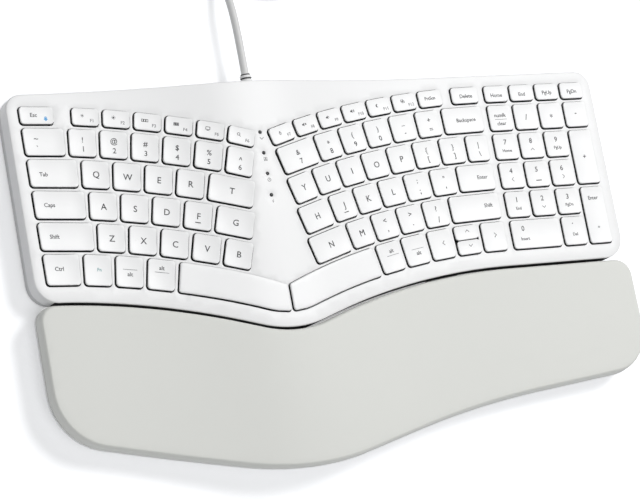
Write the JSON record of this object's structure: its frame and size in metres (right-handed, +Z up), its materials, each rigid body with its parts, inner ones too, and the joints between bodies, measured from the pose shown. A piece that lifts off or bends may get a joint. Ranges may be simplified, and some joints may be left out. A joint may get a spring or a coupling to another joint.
{
  "type": "ergonomic keyboard",
  "caption": "Wired ergonomic keyboard with curved rows of keys split over a raised dome, a number pad and a padded palm rest.",
  "frame": {"origin": "middle of the keyboard and palm rest on the surface they stand on, without the cable", "axes": "+X to the right along the rows, +Y to the rear where the cable leaves, +Z up"},
  "size_m": [0.408, 0.4053, 0.031],
  "materials": {
    "housing_plastic": "fine matt moulded texture",
    "cap_plastic": "satin, printed legends",
    "tray_plastic": "matt moulded",
    "rim_plastic": "matt moulded",
    "soft_cover": "soft matt cover over foam",
    "silicone": "translucent matt",
    "printed_film": "clear film with printed tracks",
    "plate_steel": "zinc plated sheet",
    "screw_steel": "zinc plated",
    "board": "solder mask",
    "light_guide": "smoked clear",
    "pad_rubber": "matt",
    "cable_jacket": "satin jacket",
    "plug_metal": "nickel plated"
  },
  "bodies": {
    "body": {"bottom_housing": "tray_plastic", "cable": "cable_jacket", "cable_coil": "cable_jacket", "case_screws": "screw_steel", "controller_board": "board", "housing_pads": "pad_rubber", "indicator_lenses": "light_guide", "left_dome_sheet": "silicone", "left_key_plate": "plate_steel", "left_membrane": "printed_film", "palm_rest_base": "rim_plastic", "palm_rest_feet": "pad_rubber", "palm_rest_pad": "soft_cover", "right_dome_sheet": "silicone", "right_key_plate": "plate_steel", "right_membrane": "printed_film", "strain_relief": "cable_jacket", "top_housing": "housing_plastic", "usb_plug_body": "cable_jacket", "usb_plug_shell": "plug_metal"},
    "esc_key": {"esc_key": "cap_plastic"},
    "function_keys_left": {"function_keys_left": "cap_plastic"},
    "backquote_key": {"backquote_key": "cap_plastic"},
    "number_keys_left": {"number_keys_left": "cap_plastic"},
    "tab_key": {"tab_key": "cap_plastic"},
    "upper_keys_left": {"upper_keys_left": "cap_plastic"},
    "caps_lock_key": {"caps_lock_key": "cap_plastic"},
    "home_keys_left": {"home_keys_left": "cap_plastic"},
    "left_shift_key": {"left_shift_key": "cap_plastic"},
    "lower_keys_left": {"lower_keys_left": "cap_plastic"},
    "left_control_key": {"left_control_key": "cap_plastic"},
    "modifier_keys_left": {"modifier_keys_left": "cap_plastic"},
    "function_keys_right": {"function_keys_right": "cap_plastic"},
    "delete_key": {"delete_key": "cap_plastic"},
    "number_keys_right": {"number_keys_right": "cap_plastic"},
    "backspace_key": {"backspace_key": "cap_plastic"},
    "upper_keys_right": {"upper_keys_right": "cap_plastic"},
    "home_keys_right": {"home_keys_right": "cap_plastic"},
    "enter_key": {"enter_key": "cap_plastic"},
    "lower_keys_right": {"lower_keys_right": "cap_plastic"},
    "right_shift_key": {"right_shift_key": "cap_plastic"},
    "modifier_keys_right": {"modifier_keys_right": "cap_plastic"},
    "arrow_left_key": {"arrow_left_key": "cap_plastic"},
    "arrow_up_key": {"arrow_up_key": "cap_plastic"},
    "arrow_down_key": {"arrow_down_key": "cap_plastic"},
    "arrow_right_key": {"arrow_right_key": "cap_plastic"},
    "navigation_keys": {"navigation_keys": "cap_plastic"},
    "numpad_top_keys": {"numpad_top_keys": "cap_plastic"},
    "numpad_upper_keys": {"numpad_upper_keys": "cap_plastic"},
    "numpad_home_keys": {"numpad_home_keys": "cap_plastic"},
    "numpad_lower_keys": {"numpad_lower_keys": "cap_plastic"},
    "numpad_plus_key": {"numpad_plus_key": "cap_plastic"},
    "numpad_enter_key": {"numpad_enter_key": "cap_plastic"},
    "numpad_zero_key": {"numpad_zero_key": "cap_plastic"},
    "numpad_decimal_key": {"numpad_decimal_key": "cap_plastic"},
    "left_space_bar": {"left_space_bar": "cap_plastic"},
    "right_space_bar": {"right_space_bar": "cap_plastic"},
    "left_tilt_foot": {"left_tilt_foot": "tray_plastic"},
    "right_tilt_foot": {"right_tilt_foot": "tray_plastic"}
  },
  "joints": [
    {"name": "esc_key_press", "type": "slide", "parent": "body", "child": "esc_key", "axis": [0, 0, -1], "range_m": [0, 0.0018], "stiffness_N_per_m": 300, "springref_m": -0.0005, "deforming": ["left_dome_sheet"]},
    {"name": "function_keys_left_press", "type": "slide", "parent": "body", "child": "function_keys_left", "axis": [0.0879, 0, -0.9961], "range_m": [0, 0.0018], "stiffness_N_per_m": 1800, "springref_m": -0.0005, "deforming": ["left_dome_sheet"]},
    {"name": "backquote_key_press", "type": "slide", "parent": "body", "child": "backquote_key", "axis": [0, 0, -1], "range_m": [0, 0.0018], "stiffness_N_per_m": 300, "springref_m": -0.0005, "deforming": ["left_dome_sheet"]},
    {"name": "number_keys_left_press", "type": "slide", "parent": "body", "child": "number_keys_left", "axis": [0.086, 0, -0.9963], "range_m": [0, 0.0018], "stiffness_N_per_m": 1800, "springref_m": -0.0005, "deforming": ["left_dome_sheet"]},
    {"name": "tab_key_press", "type": "slide", "parent": "body", "child": "tab_key", "axis": [0, 0, -1], "range_m": [0, 0.0018], "stiffness_N_per_m": 300, "springref_m": -0.0005, "deforming": ["left_dome_sheet"]},
    {"name": "upper_keys_left_press", "type": "slide", "parent": "body", "child": "upper_keys_left", "axis": [0.0906, 0, -0.9959], "range_m": [0, 0.0018], "stiffness_N_per_m": 1500, "springref_m": -0.0005, "deforming": ["left_dome_sheet"]},
    {"name": "caps_lock_key_press", "type": "slide", "parent": "body", "child": "caps_lock_key", "axis": [0, 0, -1], "range_m": [0, 0.0018], "stiffness_N_per_m": 300, "springref_m": -0.0005, "deforming": ["left_dome_sheet"]},
    {"name": "home_keys_left_press", "type": "slide", "parent": "body", "child": "home_keys_left", "axis": [0.0936, 0, -0.9956], "range_m": [0, 0.0018], "stiffness_N_per_m": 1500, "springref_m": -0.0005, "deforming": ["left_dome_sheet"]},
    {"name": "left_shift_key_press", "type": "slide", "parent": "body", "child": "left_shift_key", "axis": [0, 0, -1], "range_m": [0, 0.0018], "stiffness_N_per_m": 300, "springref_m": -0.0005, "deforming": ["left_dome_sheet"]},
    {"name": "lower_keys_left_press", "type": "slide", "parent": "body", "child": "lower_keys_left", "axis": [0.0975, 0, -0.9952], "range_m": [0, 0.0018], "stiffness_N_per_m": 1500, "springref_m": -0.0005, "deforming": ["left_dome_sheet"]},
    {"name": "left_control_key_press", "type": "slide", "parent": "body", "child": "left_control_key", "axis": [0, 0, -1], "range_m": [0, 0.0018], "stiffness_N_per_m": 300, "springref_m": -0.0005, "deforming": ["left_dome_sheet"]},
    {"name": "modifier_keys_left_press", "type": "slide", "parent": "body", "child": "modifier_keys_left", "axis": [0.0494, 0, -0.9988], "range_m": [0, 0.0018], "stiffness_N_per_m": 900, "springref_m": -0.0005, "deforming": ["left_dome_sheet"]},
    {"name": "function_keys_right_press", "type": "slide", "parent": "body", "child": "function_keys_right", "axis": [-0.0749, 0, -0.9972], "range_m": [0, 0.0018], "stiffness_N_per_m": 2100, "springref_m": -0.0005, "deforming": ["right_dome_sheet"]},
    {"name": "delete_key_press", "type": "slide", "parent": "body", "child": "delete_key", "axis": [0, 0, -1], "range_m": [0, 0.0018], "stiffness_N_per_m": 300, "springref_m": -0.0005, "deforming": ["right_dome_sheet"]},
    {"name": "number_keys_right_press", "type": "slide", "parent": "body", "child": "number_keys_right", "axis": [-0.0771, 0, -0.997], "range_m": [0, 0.0018], "stiffness_N_per_m": 1800, "springref_m": -0.0005, "deforming": ["right_dome_sheet"]},
    {"name": "backspace_key_press", "type": "slide", "parent": "body", "child": "backspace_key", "axis": [0, 0, -1], "range_m": [0, 0.0018], "stiffness_N_per_m": 300, "springref_m": -0.0005, "deforming": ["right_dome_sheet"]},
    {"name": "upper_keys_right_press", "type": "slide", "parent": "body", "child": "upper_keys_right", "axis": [-0.063, 0, -0.998], "range_m": [0, 0.0018], "stiffness_N_per_m": 2400, "springref_m": -0.0005, "deforming": ["right_dome_sheet"]},
    {"name": "home_keys_right_press", "type": "slide", "parent": "body", "child": "home_keys_right", "axis": [-0.0781, 0, -0.9969], "range_m": [0, 0.0018], "stiffness_N_per_m": 1800, "springref_m": -0.0005, "deforming": ["right_dome_sheet"]},
    {"name": "enter_key_press", "type": "slide", "parent": "body", "child": "enter_key", "axis": [0, 0, -1], "range_m": [0, 0.0018], "stiffness_N_per_m": 300, "springref_m": -0.0005, "deforming": ["right_dome_sheet"]},
    {"name": "lower_keys_right_press", "type": "slide", "parent": "body", "child": "lower_keys_right", "axis": [-0.0804, 0, -0.9968], "range_m": [0, 0.0018], "stiffness_N_per_m": 1500, "springref_m": -0.0005, "deforming": ["right_dome_sheet"]},
    {"name": "right_shift_key_press", "type": "slide", "parent": "body", "child": "right_shift_key", "axis": [0, 0, -1], "range_m": [0, 0.0018], "stiffness_N_per_m": 300, "springref_m": -0.0005, "deforming": ["right_dome_sheet"]},
    {"name": "modifier_keys_right_press", "type": "slide", "parent": "body", "child": "modifier_keys_right", "axis": [-0.0662, 0, -0.9978], "range_m": [0, 0.0018], "stiffness_N_per_m": 600, "springref_m": -0.0005, "deforming": ["right_dome_sheet"]},
    {"name": "arrow_left_key_press", "type": "slide", "parent": "body", "child": "arrow_left_key", "axis": [-0.0146, 0, -0.9999], "range_m": [0, 0.0018], "stiffness_N_per_m": 300, "springref_m": -0.0005, "deforming": ["right_dome_sheet"]},
    {"name": "arrow_up_key_press", "type": "slide", "parent": "body", "child": "arrow_up_key", "axis": [0, 0, -1], "range_m": [0, 0.0018], "stiffness_N_per_m": 300, "springref_m": -0.0005, "deforming": ["right_dome_sheet"]},
    {"name": "arrow_down_key_press", "type": "slide", "parent": "body", "child": "arrow_down_key", "axis": [0, 0, -1], "range_m": [0, 0.0018], "stiffness_N_per_m": 300, "springref_m": -0.0005, "deforming": ["right_dome_sheet"]},
    {"name": "arrow_right_key_press", "type": "slide", "parent": "body", "child": "arrow_right_key", "axis": [0, 0, -1], "range_m": [0, 0.0018], "stiffness_N_per_m": 300, "springref_m": -0.0005, "deforming": ["right_dome_sheet"]},
    {"name": "navigation_keys_press", "type": "slide", "parent": "body", "child": "navigation_keys", "axis": [0, 0, -1], "range_m": [0, 0.0018], "stiffness_N_per_m": 1200, "springref_m": -0.0005, "deforming": ["right_dome_sheet"]},
    {"name": "numpad_top_keys_press", "type": "slide", "parent": "body", "child": "numpad_top_keys", "axis": [0, 0, -1], "range_m": [0, 0.0018], "stiffness_N_per_m": 1200, "springref_m": -0.0005, "deforming": ["right_dome_sheet"]},
    {"name": "numpad_upper_keys_press", "type": "slide", "parent": "body", "child": "numpad_upper_keys", "axis": [0, 0, -1], "range_m": [0, 0.0018], "stiffness_N_per_m": 900, "springref_m": -0.0005, "deforming": ["right_dome_sheet"]},
    {"name": "numpad_home_keys_press", "type": "slide", "parent": "body", "child": "numpad_home_keys", "axis": [0, 0, -1], "range_m": [0, 0.0018], "stiffness_N_per_m": 900, "springref_m": -0.0005, "deforming": ["right_dome_sheet"]},
    {"name": "numpad_lower_keys_press", "type": "slide", "parent": "body", "child": "numpad_lower_keys", "axis": [0, 0, -1], "range_m": [0, 0.0018], "stiffness_N_per_m": 900, "springref_m": -0.0005, "deforming": ["right_dome_sheet"]},
    {"name": "numpad_plus_key_press", "type": "slide", "parent": "body", "child": "numpad_plus_key", "axis": [0, 0, -1], "range_m": [0, 0.0018], "stiffness_N_per_m": 300, "springref_m": -0.0005, "deforming": ["right_dome_sheet"]},
    {"name": "numpad_enter_key_press", "type": "slide", "parent": "body", "child": "numpad_enter_key", "axis": [0, 0, -1], "range_m": [0, 0.0018], "stiffness_N_per_m": 300, "springref_m": -0.0005, "deforming": ["right_dome_sheet"]},
    {"name": "numpad_zero_key_press", "type": "slide", "parent": "body", "child": "numpad_zero_key", "axis": [0, 0, -1], "range_m": [0, 0.0018], "stiffness_N_per_m": 300, "springref_m": -0.0005, "deforming": ["right_dome_sheet"]},
    {"name": "numpad_decimal_key_press", "type": "slide", "parent": "body", "child": "numpad_decimal_key", "axis": [0, 0, -1], "range_m": [0, 0.0018], "stiffness_N_per_m": 300, "springref_m": -0.0005, "deforming": ["right_dome_sheet"]},
    {"name": "left_space_bar_press", "type": "slide", "parent": "body", "child": "left_space_bar", "axis": [0, 0, -1], "range_m": [0, 0.0018], "stiffness_N_per_m": 600, "springref_m": -0.0005, "deforming": ["left_dome_sheet"]},
    {"name": "right_space_bar_press", "type": "slide", "parent": "body", "child": "right_space_bar", "axis": [0, 0, -1], "range_m": [0, 0.0018], "stiffness_N_per_m": 600, "springref_m": -0.0005, "deforming": ["right_dome_sheet"]},
    {"name": "left_tilt_foot_fold", "type": "hinge", "parent": "body", "child": "left_tilt_foot", "pos_m": [-0.15, 0.103, 0.0033], "axis": [1, 0, 0], "range_deg": [0, 95]},
    {"name": "right_tilt_foot_fold", "type": "hinge", "parent": "body", "child": "right_tilt_foot", "pos_m": [0.15, 0.103, 0.0033], "axis": [1, 0, 0], "range_deg": [0, 95]}
  ]
}
